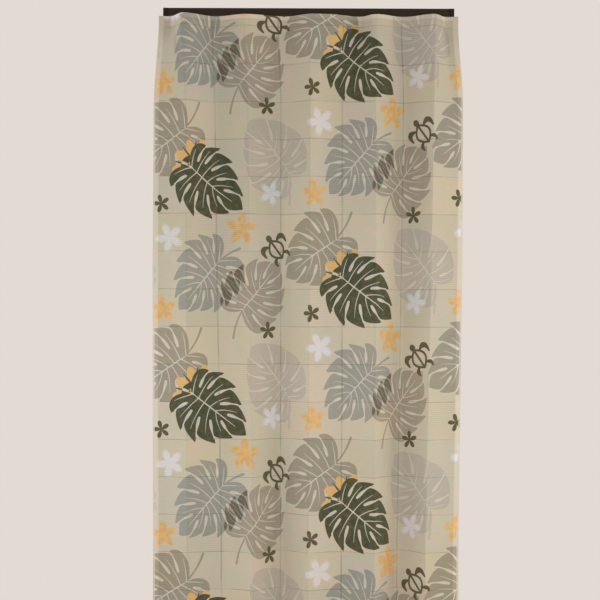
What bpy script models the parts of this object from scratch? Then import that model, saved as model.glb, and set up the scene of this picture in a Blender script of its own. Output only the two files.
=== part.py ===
"""Accordion-folded partition curtain hung in front of its flat rail.

Metres, +Z up, front towards -Y. The origin is the middle of the rail's top face.
A place on the cloth is given by its flat position (metres from the left edge along
the weft) and its drop (metres below the cloth's top edge).
"""

import bmesh
import bpy
import numpy as np

CM = 0.01
GAP = 0.0003  # between pieces that touch

# Rail: a flat bar with a shallow lip along its lower front edge, and a cap on each end
RAIL_SPAN = 0.832  # over both caps
RAIL_HEIGHT = 0.034
RAIL_DEPTH = 0.022
LIP_HEIGHT = 0.012
LIP_PROUD = 0.0015
CAP_LENGTH = 0.014
EDGE_ROUND = 0.002
TOP_ROUND = 0.0006
ROUND_STEPS = 3

# Cloth: one sheet, ten pressed pleats wide, hemmed all round
PLEAT = 0.100
PLEATS = 10
FLAT_WIDTH = PLEAT * PLEATS
CLOTH_DROP = 1.78
CLOTH_TOP = -0.025  # its top edge, below the rail's top face
CLOTH_THICK = 0.0012
HEM_THICK = 0.0018
TOP_HEM = 0.012
SIDE_HEM = 0.016
FOOT_HEM = 0.030
HEM_STEP = 0.001  # over which the hem's second layer ends

# Folds
SHOULDER = 0.26  # drop by which the soft top wave has become creased pleats
HEADING = 0.015  # drop that keeps the top wave as it is
CLEAR = 0.002  # the cloth stands this much further out below the heading
HANG_OUT = 0.020  # the pleats' mean distance in front of the seat on the rail
MIDDLE_DROP, FOOT_DROP = 0.60, 1.45  # where the table below gives the creases
PEAK_REACH, VALLEY_REACH = 0.004, 0.015  # half of the width that a crease rounds off
PEAK_STEPS, VALLEY_STEPS, PANEL_STEPS = 3, 4, 3
SHOULDER_ROWS, BODY_ROWS = 7, 12

# The top edge's soft wave, in cm from the middle and in front of the rail's lip
TOP_WAVE = (
    # name, across, out
    ("left edge", -42.0, 2.0),
    ("left curl", -40.0, 1.9),
    ("left seat", -38.4, 0.0),
    ("front 1", -35.5, 5.4),
    ("seat 1", -26.4, 0.0),
    ("front 2", -17.8, 3.1),
    ("slope 2", -13.0, 2.1),
    ("seat 2", -6.7, 0.0),
    ("front 3", 0.9, 4.6),
    ("slope 3", 6.3, 4.0),
    ("seat 3", 14.8, 0.0),
    ("front 4", 19.0, 4.4),
    ("seat 4", 27.2, 0.0),
    ("front 5", 35.6, 4.9),
    ("right seat", 39.2, 0.0),
    ("right edge", 42.6, 1.0),
)

# The creases one pleat apart, in cm from the middle; peaks stand to the front
CREASES = (
    # name, across at the middle, across at the foot
    ("left edge", -43.6, -43.1),
    ("peak 1", -34.4, -33.9),
    ("valley 1", -25.9, -25.1),
    ("peak 2", -16.5, -15.5),
    ("valley 2", -7.6, -7.3),
    ("peak 3", 0.6, 0.2),
    ("valley 3", 9.9, 9.7),
    ("peak 4", 19.3, 19.2),
    ("valley 4", 26.9, 26.2),
    ("peak 5", 34.8, 33.2),
    ("right edge", 43.6, 42.8),
)

CLOTH_COLOUR = (0.56, 0.49, 0.38, 1.0)
RAIL_COLOUR = (0.042, 0.030, 0.020, 1.0)
CAP_COLOUR = (0.026, 0.021, 0.017, 1.0)


def smooth(x):
    """0 below 0, 1 above 1, and an even slope between them."""
    x = np.clip(x, 0.0, 1.0)
    return x * x * (3.0 - 2.0 * x)


def soft_slopes(x, y):
    """Slopes for a cubic through the points that turns exactly at its highs and lows."""
    rise = np.diff(y) / np.diff(x)
    slopes = np.zeros(len(x))
    for i in range(1, len(x) - 1):
        if rise[i - 1] * rise[i] > 0:
            slopes[i] = 2.0 * rise[i - 1] * rise[i] / (rise[i - 1] + rise[i])
    slopes[0], slopes[-1] = rise[0], rise[-1]
    return slopes


def soft_curve(x, y, at):
    """The cubic through the points (x, y), read at the places in at."""
    slopes = soft_slopes(x, y)
    i = np.clip(np.searchsorted(x, at) - 1, 0, len(x) - 2)
    width = x[i + 1] - x[i]
    t = (at - x[i]) / width
    return (
        y[i] * (1 + 2 * t) * (1 - t) ** 2
        + slopes[i] * width * t * (1 - t) ** 2
        + y[i + 1] * t * t * (3 - 2 * t)
        + slopes[i + 1] * width * t * t * (t - 1)
    )


def top_line(flat):
    """Across and out of the top edge, walked by its own length as cloth would be."""
    across = np.array([row[1] for row in TOP_WAVE]) * CM
    out = np.array([row[2] for row in TOP_WAVE]) * CM
    fine = np.linspace(across[0], across[-1], 1500)
    wave = soft_curve(across, out, fine)
    walked = np.concatenate([[0.0], np.cumsum(np.hypot(np.diff(fine), np.diff(wave)))])
    share = walked / walked[-1] * FLAT_WIDTH
    return np.stack([np.interp(flat, share, fine), np.interp(flat, share, wave)], axis=1)


def crease_points(drop):
    """Across and out of every crease at this drop; a pleat keeps its width."""
    middle = np.array([row[1] for row in CREASES]) * CM
    foot = np.array([row[2] for row in CREASES]) * CM
    across = middle + (foot - middle) * smooth((drop - MIDDLE_DROP) / (FOOT_DROP - MIDDLE_DROP))
    depth = np.sqrt(np.maximum(PLEAT**2 - np.diff(across) ** 2, 0.0))
    towards = np.where(np.arange(PLEATS) % 2 == 0, 1.0, -1.0)
    out = np.concatenate([[0.0], np.cumsum(towards * depth)])
    return np.stack([across, out - out.mean() + HANG_OUT], axis=1)


def crease_reach(i):
    return PEAK_REACH if i % 2 else VALLEY_REACH


def pleat_line(flat, drop):
    """Across and out of the creased cloth: flat panels joined by rounded creases."""
    points = crease_points(drop)
    line = np.empty((len(flat), 2))
    for k, place in enumerate(flat):
        i = int(round(place / PLEAT))
        ahead = place - i * PLEAT
        if 0 < i < PLEATS and abs(ahead) < crease_reach(i):
            reach = crease_reach(i)
            before = points[i] + (points[i - 1] - points[i]) * reach / PLEAT
            after = points[i] + (points[i + 1] - points[i]) * reach / PLEAT
            t = (ahead + reach) / (2 * reach)
            line[k] = (1 - t) ** 2 * before + 2 * t * (1 - t) * points[i] + t * t * after
        else:
            i = min(int(place / PLEAT), PLEATS - 1)
            t = place / PLEAT - i
            line[k] = (1 - t) * points[i] + t * points[i + 1]
    return line


def cloth_line(flat, drop):
    """Across and out of the cloth at this drop, from the top wave into the pleats."""
    creased = smooth((drop - HEADING) / (SHOULDER - HEADING))
    line = (1 - creased) * top_line(flat) + creased * pleat_line(flat, drop)
    line[:, 1] += CLEAR * smooth(drop / (RAIL_HEIGHT + CLOTH_TOP))
    return line


def flat_columns():
    """Flat positions of the mesh's columns: close at the creases, wide on the panels."""
    ends = [HEM_STEP + SIDE_HEM, SIDE_HEM, 0.0]
    columns = sorted(ends)
    for i in range(1, PLEATS):
        steps = PEAK_STEPS if i % 2 else VALLEY_STEPS
        crease = i * PLEAT + crease_reach(i) * np.linspace(-1, 1, steps + 1)
        columns += list(np.linspace(columns[-1], crease[0], PANEL_STEPS + 1)[1:-1])
        columns += list(crease)
    right = [FLAT_WIDTH - e for e in ends]
    columns += list(np.linspace(columns[-1], right[0], PANEL_STEPS + 1)[1:-1])
    return np.array(columns + right)


def drop_rows():
    """Drops of the mesh's rows: close at the heading, the shoulder and the hem."""
    seat = (RAIL_HEIGHT + CLOTH_TOP) / 2
    hem = CLOTH_DROP - FOOT_HEM
    heading = [0.0, seat, 2 * seat, TOP_HEM, TOP_HEM + HEM_STEP]
    shoulder = np.linspace(3 * TOP_HEM, SHOULDER, SHOULDER_ROWS)
    body = np.linspace(SHOULDER, hem - HEM_STEP, BODY_ROWS)[1:]
    return np.array(heading + list(shoulder) + list(body) + [hem, CLOTH_DROP])


def thickness(flat, drop):
    """The hems are the same cloth turned over, so they are thicker."""
    side = (flat <= SIDE_HEM) | (flat >= FLAT_WIDTH - SIDE_HEM)
    end = drop <= TOP_HEM or drop >= CLOTH_DROP - FOOT_HEM
    return np.where(side | end, HEM_THICK, CLOTH_THICK)


def curtain_mesh():
    """The sheet: a front and a back skin on either side of the folded line, and a rim."""
    flat, drops = flat_columns(), drop_rows()
    seat = -(RAIL_DEPTH / 2 + LIP_PROUD + GAP + HEM_THICK / 2)
    bm = bmesh.new()
    front, back = [], []
    for drop in drops:
        line = cloth_line(flat, drop)
        along = np.gradient(line, axis=0)
        along /= np.linalg.norm(along, axis=1)[:, None]
        half = thickness(flat, drop) / 2
        skins = ([], [])
        for (across, out), (ax, ay), h in zip(line, along, half):
            for skin, side in zip(skins, (1, -1)):
                x, y = across - side * h * ay, seat - out - side * h * ax
                skin.append(bm.verts.new((x, y, CLOTH_TOP - drop)))
        front.append(skins[0])
        back.append(skins[1])
    rows, columns = len(drops) - 1, len(flat) - 1
    for r in range(rows):
        for c in range(columns):
            for skin in (front, back):
                bm.faces.new((skin[r][c], skin[r][c + 1], skin[r + 1][c + 1], skin[r + 1][c]))
        for c in (0, columns):
            bm.faces.new((front[r][c], front[r + 1][c], back[r + 1][c], back[r][c]))
    for r in (0, rows):
        for c in range(columns):
            bm.faces.new((front[r][c], front[r][c + 1], back[r][c + 1], back[r][c]))
    bmesh.ops.recalc_face_normals(bm, faces=bm.faces)
    mesh = bpy.data.meshes.new("curtain")
    bm.to_mesh(mesh)
    bm.free()
    return mesh


def rounded(corners):
    """A closed outline in Y and Z from (y, z, radius) corners, each rounded by an arc."""
    outline = []
    for i, (y, z, radius) in enumerate(corners):
        here = np.array([y, z])
        before = np.array(corners[i - 1][:2]) - here
        after = np.array(corners[(i + 1) % len(corners)][:2]) - here
        a = here + before / np.linalg.norm(before) * radius
        b = here + after / np.linalg.norm(after) * radius
        steps = ROUND_STEPS if radius > TOP_ROUND else 1
        for t in np.linspace(0, 1, steps + 1) if radius else (0.5,):
            outline.append((1 - t) ** 2 * a + 2 * t * (1 - t) * here + t * t * b)
    return outline


def extruded(name, outline, low, high):
    """A bar with the outline as its section, from low to high along X."""
    bm = bmesh.new()
    ends = [[bm.verts.new((x, y, z)) for y, z in outline] for x in (low, high)]
    bm.faces.new(ends[0])
    bm.faces.new(ends[1])
    for i in range(len(outline)):
        j = (i + 1) % len(outline)
        bm.faces.new((ends[0][i], ends[0][j], ends[1][j], ends[1][i]))
    bmesh.ops.recalc_face_normals(bm, faces=bm.faces)
    return bm


def rail_outline():
    front, back, foot = -RAIL_DEPTH / 2, RAIL_DEPTH / 2, -RAIL_HEIGHT
    lip_top = foot + LIP_HEIGHT
    return rounded(
        (
            (back, 0.0, TOP_ROUND),
            (front, 0.0, TOP_ROUND),
            (front, lip_top + LIP_PROUD, 0.0),
            (front - LIP_PROUD, lip_top, 0.0),
            (front - LIP_PROUD, foot, EDGE_ROUND),
            (back, foot, EDGE_ROUND),
        )
    )


def cap_outline():
    front, back, foot = -RAIL_DEPTH / 2 - LIP_PROUD, RAIL_DEPTH / 2, -RAIL_HEIGHT
    return rounded(
        (
            (back, 0.0, TOP_ROUND),
            (front, 0.0, TOP_ROUND),
            (front, foot, EDGE_ROUND),
            (back, foot, EDGE_ROUND),
        )
    )


def rail_mesh():
    half = RAIL_SPAN / 2 - CAP_LENGTH - GAP
    bm = extruded("rail", rail_outline(), -half, half)
    mesh = bpy.data.meshes.new("rail")
    bm.to_mesh(mesh)
    bm.free()
    return mesh


def cap_mesh(name, side):
    """An end cap: the rail's full section, its outer end eased on every side but the top."""
    inner, outer = side * (RAIL_SPAN / 2 - CAP_LENGTH), side * RAIL_SPAN / 2
    bm = extruded(name, cap_outline(), min(inner, outer), max(inner, outer))
    rim = [
        e
        for e in bm.edges
        if all(abs(v.co.x - outer) < GAP for v in e.verts)
        and min(v.co.z for v in e.verts) < -2 * TOP_ROUND
    ]
    bmesh.ops.bevel(bm, geom=rim, offset=TOP_ROUND, segments=1, affect="EDGES")
    mesh = bpy.data.meshes.new(name)
    bm.to_mesh(mesh)
    bm.free()
    return mesh


def material(name, colour, roughness):
    made = bpy.data.materials.new(name)
    made.use_nodes = True
    shader = made.node_tree.nodes["Principled BSDF"]
    shader.inputs["Base Color"].default_value = colour
    shader.inputs["Roughness"].default_value = roughness
    shader.inputs["Metallic"].default_value = 0.0
    return made


def place(mesh, look):
    """Adds the mesh to the scene as an object of its own name."""
    made = bpy.data.objects.new(mesh.name, mesh)
    made.data.materials.append(look)
    made.data.shade_smooth()
    made.data.set_sharp_from_angle(angle=np.radians(35))
    bpy.context.scene.collection.objects.link(made)
    return made


def main():
    for old in list(bpy.data.objects):
        bpy.data.objects.remove(old, do_unlink=True)
    place(rail_mesh(), material("rail_brown", RAIL_COLOUR, 0.45))
    cap = material("cap_dark", CAP_COLOUR, 0.5)
    place(cap_mesh("cap_left", -1), cap)
    place(cap_mesh("cap_right", 1), cap)
    place(curtain_mesh(), material("cloth", CLOTH_COLOUR, 0.9))


main()
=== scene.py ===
# %% [markdown]
# # Pleated partition curtain
# One sheet of printed lace cloth, pressed into ten pleats, hangs in front of a short dark rail.
# The real sheet is woven, printed flat, hemmed, pressed and only then hung. The script keeps that
# order: the print is laid out on the flat cloth, and the folds are a formula that carries every
# flat point to its place in the hung curtain. That way the leaves bend over the pleats as ink does.
# Lengths are metres unless a name or a table says centimetres. Front is towards -Y.

import bpy
import numpy as np
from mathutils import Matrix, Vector
from mathutils.geometry import delaunay_2d_cdt


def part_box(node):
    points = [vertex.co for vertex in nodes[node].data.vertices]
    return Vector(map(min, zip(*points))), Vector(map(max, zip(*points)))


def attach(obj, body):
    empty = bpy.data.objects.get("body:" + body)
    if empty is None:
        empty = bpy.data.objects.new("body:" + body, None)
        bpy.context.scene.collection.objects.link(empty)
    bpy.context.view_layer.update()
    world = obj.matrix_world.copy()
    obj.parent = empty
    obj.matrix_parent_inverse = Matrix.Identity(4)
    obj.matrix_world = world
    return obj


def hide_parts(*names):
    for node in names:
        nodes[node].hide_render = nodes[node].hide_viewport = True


CM = 0.01
TURN = 2 * np.pi
DEGREE = TURN / 360

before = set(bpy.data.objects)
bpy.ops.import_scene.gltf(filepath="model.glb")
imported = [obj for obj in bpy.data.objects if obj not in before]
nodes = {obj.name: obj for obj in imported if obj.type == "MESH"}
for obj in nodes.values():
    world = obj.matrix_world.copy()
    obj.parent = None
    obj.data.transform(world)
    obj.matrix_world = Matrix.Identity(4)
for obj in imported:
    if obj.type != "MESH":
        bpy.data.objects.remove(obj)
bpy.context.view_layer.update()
curtain_low, curtain_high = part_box("curtain")
print("Pieces in the frame:", ", ".join(sorted(nodes)))
print("Curtain from", [round(c, 3) for c in curtain_low], "to", [round(c, 3) for c in curtain_high])

# %% [markdown]
# ## The camera
# The photograph was taken level, from a little over four metres and about half way down the cloth,
# with a longish lens. A camera that far away keeps the pleats' true widths near the edges.

# %% Camera
CLOTH_TOP = float(curtain_high[2])
CAMERA_ACROSS = -0.022
CAMERA_AWAY = 4.236
CAMERA_BELOW_TOP = 0.809
LENS_MM, SENSOR_MM = 88.7, 36.0
CAMERA_ROLL = -0.2 * DEGREE


def put(name, data):
    """A new object in the scene that shows this mesh, camera or lamp."""
    made = bpy.data.objects.new(name, data)
    bpy.context.scene.collection.objects.link(made)
    return made


lens = bpy.data.cameras.new("camera")
lens.lens = LENS_MM
lens.sensor_width = SENSOR_MM
camera = put("camera", lens)
camera.location = (CAMERA_ACROSS, -CAMERA_AWAY, CLOTH_TOP - CAMERA_BELOW_TOP)
camera.rotation_euler = (90 * DEGREE, CAMERA_ROLL, 0.0)
bpy.context.scene.camera = camera
print(f"The camera stands {CAMERA_AWAY:.2f} m away, with a lens of {LENS_MM} mm")

# %% [markdown]
# ## The folds
# Pleated cloth keeps two habits. Its top edge runs in a soft wave, because the heading pulls it
# flat where it is fixed. Within 26 cm the pressed creases take over: flat panels of one width
# each, folded sharply forward and a little more softly back. Both lines carry the same flat width
# of cloth, and the shoulder between them blends one into the other. A table of crease places gives
# the unevenness of real cloth without any randomness.

# %% Measures of the cloth and its folds
RAIL_HEIGHT = 0.034
RAIL_FACE = 0.0125
PLEAT = 0.100
PLEATS = 10
FLAT_WIDTH = PLEAT * PLEATS
CLOTH_DROP = 1.78
CLOTH_THICK = 0.0012
HEM_THICK = 0.0018
TOP_HEM = 0.012
SIDE_HEM = 0.016
FOOT_HEM = 0.030
HEM_STEP = 0.001
SEAT_GAP = 0.0003
SEAT = -(RAIL_FACE + SEAT_GAP + HEM_THICK / 2)
SHOULDER = 0.26
CORNER_SHOULDER = 0.09
CORNER_WIDE = (0.06, 0.11)
CORNER_DROOP = 0.002
HEADING = 0.015
CLEAR = 0.002
HANG_OUT = 0.020
CREASE_DROPS = (0.20, 0.70, 1.50)
PEAK_REACH, VALLEY_REACH = 0.004, 0.015

# Across from the middle and out from the rail, in cm
TOP_WAVE = np.array((
    (-42.6, 1.8), (-39.4, 0.2), (-35.5, 5.8), (-26.4, 0.0), (-17.8, 3.9),
    (-13.0, 2.4), (-6.7, 0.0), (0.9, 4.6), (6.3, 4.0), (14.8, 0.0), (19.0, 4.4),
    (27.2, 0.0), (35.6, 4.9), (39.2, 0.0), (42.6, 1.0),
)) * CM

# Each crease's place across, in cm from the middle, at three drops from the top
CREASES = np.array((
    (-43.9, -44.0, -43.7), (-34.7, -34.3, -33.9), (-26.9, -26.0, -24.3), (-17.3, -16.6, -15.0),
    (-7.8, -7.7, -7.6), (0.5, 0.4, 0.3), (9.6, 9.8, 9.8), (19.0, 19.2, 19.1), (27.3, 26.8, 25.8),
    (35.5, 34.9, 33.4), (44.2, 44.1, 43.1),
)) * CM

# %% The soft wave of the top edge


def smooth(x):
    """0 below 0, 1 above 1, and a soft slope between them."""
    x = np.clip(x, 0.0, 1.0)
    return x * x * (3.0 - 2.0 * x)


def soft_curve(x, y, at):
    """A cubic through the points that turns exactly at its highs and lows."""
    rise = np.diff(y) / np.diff(x)
    slopes = np.zeros(len(x))
    for i in range(1, len(x) - 1):
        if rise[i - 1] * rise[i] > 0:
            slopes[i] = 2.0 * rise[i - 1] * rise[i] / (rise[i - 1] + rise[i])
    slopes[0], slopes[-1] = rise[0], rise[-1]
    i = np.clip(np.searchsorted(x, at) - 1, 0, len(x) - 2)
    width = x[i + 1] - x[i]
    t = (at - x[i]) / width
    return (
        y[i] * (1 + 2 * t) * (1 - t) ** 2
        + slopes[i] * width * t * (1 - t) ** 2
        + y[i + 1] * t * t * (3 - 2 * t)
        + slopes[i + 1] * width * t * t * (t - 1)
    )


WAVE_SAMPLES = 1500
wave_across = np.linspace(TOP_WAVE[0, 0], TOP_WAVE[-1, 0], WAVE_SAMPLES)
wave_out = soft_curve(TOP_WAVE[:, 0], TOP_WAVE[:, 1], wave_across)
wave_steps = np.hypot(np.diff(wave_across), np.diff(wave_out))
wave_walked = np.append(0.0, np.cumsum(wave_steps))
wave_share = wave_walked / wave_walked[-1] * FLAT_WIDTH


def top_line(flat):
    """Across and out of the top edge at these flat places."""
    return [np.interp(flat, wave_share, line) for line in (wave_across, wave_out)]


print(f"The top edge's wave is {wave_walked[-1]:.3f} m long, laid out flat")

# %% The pressed creases


def crease_points(drop):
    """Across and out of every crease, one row for each drop. A pleat keeps its width."""
    across = np.stack([np.interp(drop, CREASE_DROPS, places) for places in CREASES], axis=1)
    depth = np.sqrt(np.maximum(PLEAT**2 - np.diff(across, axis=1) ** 2, 0.0))
    sign = np.where(np.arange(PLEATS) % 2 == 0, 1.0, -1.0)
    out = np.pad(np.cumsum(sign * depth, axis=1), ((0, 0), (1, 0)))
    return across, out - out.mean(axis=1)[:, None] + HANG_OUT


def pleat_line(flat, drop):
    """Across and out of the creased cloth: flat panels joined by rounded creases."""
    points = crease_points(drop)
    row = np.arange(len(flat))
    panel = np.clip((flat / PLEAT).astype(int), 0, PLEATS - 1)
    share = flat / PLEAT - panel
    crease = np.clip(np.rint(flat / PLEAT).astype(int), 1, PLEATS - 1)
    ahead = flat - crease * PLEAT
    reach = np.where(crease % 2 == 1, PEAK_REACH, VALLEY_REACH)
    bent = np.abs(ahead) < reach
    t = np.clip((ahead + reach) / (2 * reach), 0.0, 1.0)
    line = []
    for side in points:
        straight = (1 - share) * side[row, panel] + share * side[row, panel + 1]
        here = side[row, crease]
        before = here + (side[row, crease - 1] - here) * reach / PLEAT
        after = here + (side[row, crease + 1] - here) * reach / PLEAT
        curved = (1 - t) ** 2 * before + 2 * t * (1 - t) * here + t * t * after
        line.append(np.where(bent, curved, straight))
    return line


# %% [markdown]
# Pressed panels aren't dead flat. The creases carry the cloth, and between them it hangs back a
# few millimetres, like a slack line between two posts, so it turns slowly from crease to crease.
# On top of that it relaxes by up to three millimetres, each panel in its own way down its drop.
# Two slow sines out of step with each other are enough for that. The left corner hangs past the
# rail's end, so it droops by two millimetres and takes up its crease sooner.

# %% The hung cloth
SLACK = 0.0055
BELLY = 0.0018
# Each sine's turn in a metre of drop, its turn from panel to panel, and its share
BELLY_WAVES = ((7.1, 2.4, 1.0), (13.7, 5.1, 0.6))


def crease_share(flat, drop):
    """0 where the cloth stands out like the top wave, 1 where it stands out like the creases."""
    shoulder = np.interp(flat, CORNER_WIDE, (CORNER_SHOULDER, SHOULDER))
    return smooth((drop - HEADING) / (shoulder - HEADING))


def belly(flat, drop):
    """How far a panel stands proud of flat between its creases."""
    panel = np.clip(np.floor(flat / PLEAT), 0, PLEATS - 1)
    share = flat / PLEAT - panel
    slack = -SLACK * 4 * share * (1 - share)
    arch = np.sin(np.pi * share) ** 2
    slow = sum(part * np.sin(drop * down + panel * beside) for down, beside, part in BELLY_WAVES)
    return (slack + BELLY * arch * slow) * crease_share(flat, drop)


def hang(flat, drop):
    """Where the middle of the cloth's thickness hangs, as x, y, z columns."""
    creased = crease_share(flat, drop)
    spread = smooth((drop - HEADING) / (SHOULDER - HEADING))
    wave = top_line(flat)
    pleats = pleat_line(flat, drop)
    across = (1 - spread) * wave[0] + spread * pleats[0]
    out = (1 - creased) * wave[1] + creased * pleats[1]
    out = out + CLEAR * smooth(drop / (RAIL_HEIGHT + CLOTH_TOP)) + belly(flat, drop)
    droop = CORNER_DROOP * (1 - smooth(flat / CORNER_WIDE[0])) * (1 - creased)
    return np.stack([across, SEAT - out, CLOTH_TOP - drop - droop], axis=1)


def facing(flat, drop):
    """The front side's direction, from two short steps along and down the cloth."""
    step_along, step_down = 0.0006, 0.003
    along = hang(flat + step_along, drop) - hang(flat - step_along, drop)
    down = hang(flat, drop + step_down) - hang(flat, drop - step_down)
    normal = np.cross(down, along)
    return normal / np.linalg.norm(normal, axis=1)[:, None]


# %% [markdown]
# ## The print, leaf by leaf
# The pattern is a common one for summer cloth: big split leaves in five tints, flowers, and a
# little turtle in brush strokes. Screen printing lays each ink as flat shapes with clean edges,
# and leaves the veins and slits bare, so every motif here is a few closed outlines.
# A leaf is drawn in its own measure, its base at 0 and its tip at 1 along the midrib. All leaves
# follow one rule of growth: the lobes fan out from the midrib, closer together and longer towards
# the tip, with a slit between each two and a vein into each. Four numbers for each half say how
# many lobes it has, how wide and how far the lowest one spreads and how deep the notches are.

# %% The rule of growth
TURN_POWER, REACH_POWER = 1.4, 0.85
UNEVEN_TURN, UNEVEN_REACH = 2.5, 0.025
SEED_STEP, LOBE_STEP = 5.1, 2.3
LOWEST_VEIN_LEAN = 65
VEIN_TOWARDS_LOWER = 0.3
# Each pair is the share at the lowest lobe and at the tip
SLIT_TURN, SLIT_REACH = (0.80, 0.60), (0.38, 0.76)
VEIN_START, VEIN_REACH = (0.03, 0.55), (0.66, 0.82)


def between(pair, t):
    """The value at share t of the way from the first of a pair to the second."""
    return (1 - t) * pair[0] + t * pair[1]


def grow(lobes, low_turn, low_reach, seed):
    """Tips, slits and veins of half a leaf, as turns off the midrib and reaches from the base."""
    tips, slits, veins = [], [], []
    for i in range(lobes + 1):
        t = i / lobes
        uneven = np.sin(SEED_STEP * seed + LOBE_STEP * i) if 0 < i < lobes else 0.0
        turn = low_turn * (1 - t) ** TURN_POWER + UNEVEN_TURN * uneven * (1 - t)
        reach = low_reach + (1 - low_reach) * t**REACH_POWER
        tips.append((turn, reach * (1 + UNEVEN_REACH * uneven)))
    turn_before = low_turn + LOWEST_VEIN_LEAN
    for i, (turn, reach) in enumerate(tips[:-1]):
        t = i / lobes
        vein_turn = between((turn, turn_before), VEIN_TOWARDS_LOWER)
        slits.append((between(SLIT_TURN, t) * turn, between(SLIT_REACH, t) * reach))
        veins.append((between(VEIN_START, t), vein_turn, between(VEIN_REACH, t) * reach))
        turn_before = turn
    return tips, slits, veins


def towards(angle):
    """The point at an angle, 1 away from the origin."""
    return np.array([np.cos(angle), np.sin(angle)])


def quarter(step):
    """A step, or one in each row, turned by a quarter."""
    return np.stack([-step[..., 1], step[..., 0]], axis=-1)


def polar(turn, reach, side):
    """A point of the leaf from its turn off the midrib and its reach from the base."""
    return reach * towards(turn * DEGREE) * (1, side)


def bezier(points, steps):
    """Points along a curve with four control points, with its start and without its end."""
    t = np.arange(steps)[:, None] / steps
    weights = ((1 - t) ** 3, 3 * t * (1 - t) ** 2, 3 * t * t * (1 - t), t**3)
    return sum(w * p for w, p in zip(weights, points))


CAP_TURNS = np.array([[45], [0], [-45]]) * DEGREE


def brush(start, bend, end, widths, steps=8):
    """A stroke along a curve with three control points, as a closed outline with round ends."""
    t = np.linspace(0, 1, steps + 1)[:, None]
    line = (1 - t) ** 2 * start + 2 * t * (1 - t) * bend + t * t * end
    along = np.gradient(line, axis=0)
    along /= np.linalg.norm(along, axis=1)[:, None]
    side = quarter(along)
    half = np.interp(t, np.linspace(0, 1, len(widths)), widths) / 2
    far_cap = line[-1] + half[-1] * (np.cos(CAP_TURNS) * along[-1] + np.sin(CAP_TURNS) * side[-1])
    near_cap = line[0] - half[0] * (np.cos(CAP_TURNS) * along[0] + np.sin(CAP_TURNS) * side[0])
    return np.concatenate([line + side * half, far_cap, (line - side * half)[::-1], near_cap])


# %% One leaf
SLIT_WIDTH, VEIN_WIDTH = 0.046, 0.014
SLIT_SHAPE = np.array([0.75, 1.0, 0.95, 0.6, 0.38, 0.35, 0.5]) * SLIT_WIDTH
VEIN_SHAPE = np.array([1.0, 0.9, 0.65, 0.3]) * VEIN_WIDTH
MIDRIB_SHAPE = np.array([0.7, 1.4, 1.3, 1.0, 0.4]) * VEIN_WIDTH
MIDRIB = ((0.05, 0.0), (0.4, 0.012), (0.80, 0.0))
HEEL_STEPS, LOBE_STEPS = 10, 9
HEEL_SPREAD, HEEL_TURN_MOST, HEEL_REACH, CHEEK_SPREAD = 50, 176, 0.22, 28
ROUND_LOBE, NOTCH_FLATTENS, NOTCH_SHORTENS = 0.50, 0.3, 0.6
SHOULDER_AT, BEFORE_TIP_AT = (0.08, 0.50), (0.62, 0.34)
SLIT_BEND, VEIN_BEND, VEIN_BEND_AT = (-0.022, 0.008), (-0.035, 0.02), 0.45


def blade(tips, slits, notch, side):
    """One half of the leaf's outline, from the base to the tip."""
    low_turn, low_reach = tips[0]
    heel = polar(min(low_turn + HEEL_SPREAD, HEEL_TURN_MOST), HEEL_REACH, side)
    cheek = polar(low_turn + CHEEK_SPREAD, low_reach, side)
    point = polar(low_turn, low_reach, side)
    outline = [bezier((np.zeros(2), heel, cheek, point), HEEL_STEPS)]
    roundness = ROUND_LOBE - NOTCH_FLATTENS * notch
    for (turn, reach), (next_turn, next_reach) in zip(slits, tips[1:]):
        inner = point + notch * (polar(turn, reach, side) - point)
        ahead = polar(next_turn, next_reach, side)
        chord = ahead - inner
        outward = side * roundness * quarter(chord)
        shoulder = inner + SHOULDER_AT[0] * chord + SHOULDER_AT[1] * outward
        before_tip = inner + BEFORE_TIP_AT[0] * chord + BEFORE_TIP_AT[1] * outward
        outline.append(point[None, :])
        outline.append(bezier((inner, shoulder, before_tip, ahead), LOBE_STEPS))
        point = ahead
    return np.concatenate(outline)


def leaf(halves, seed):
    """The leaf as (blade outline, list of bare shapes), a little different for each seed."""
    outlines, bare = [], []
    for (lobes, low_turn, low_reach, notch), side in zip(halves, (1, -1)):
        tips, slits, veins = grow(lobes, low_turn, low_reach, seed + side)
        outlines.append(blade(tips, slits, notch, side))
        for (turn, reach), tip in zip(slits, tips):
            inner = polar(turn, reach, side)
            outer = polar(*tip, side)
            bend = (inner + outer) / 2 + np.array(SLIT_BEND) * (1, side)
            mouth = inner + (1 - NOTCH_SHORTENS * notch) * (outer - inner)
            bare.append(brush(inner, bend, mouth, SLIT_SHAPE))
        for share, turn, reach in veins:
            start = np.array([share, 0.0])
            end = polar(turn, reach, side)
            bend = start + VEIN_BEND_AT * (end - start) + np.array(VEIN_BEND) * (1, side)
            bare.append(brush(start, bend, end, VEIN_SHAPE))
    bare.append(brush(*MIDRIB, MIDRIB_SHAPE))
    outline = np.concatenate([outlines[0], [(1.0, 0.0)], outlines[1][:0:-1]])
    return outline, bare


outline, bare = leaf(((5, 100, 0.4, 0.4), (5, 85, 0.4, 0.35)), 0.0)
print(f"A leaf's outline has {len(outline)} points, and {len(bare)} veins and slits stay bare")

# %% Ovals and small flowers
FLOWER_PETALS = 5
FLOWER_HEART = 0.16


def oval(long, wide, steps=24):
    """An oval around the origin, its long way to the right."""
    return towards(np.arange(steps) * TURN / steps).T * (long / 2, wide / 2)


def flower(radius, turn, steps=60):
    """Round petals that meet at the middle."""
    angle = np.arange(steps) * TURN / steps
    reach = radius * between((FLOWER_HEART, 1.0), np.abs(np.cos(FLOWER_PETALS / 2 * angle)))
    return reach[:, None] * towards(angle + turn).T


print(f"A flower has {FLOWER_PETALS} petals and {len(flower(1.0, 0.0))} points")

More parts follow.
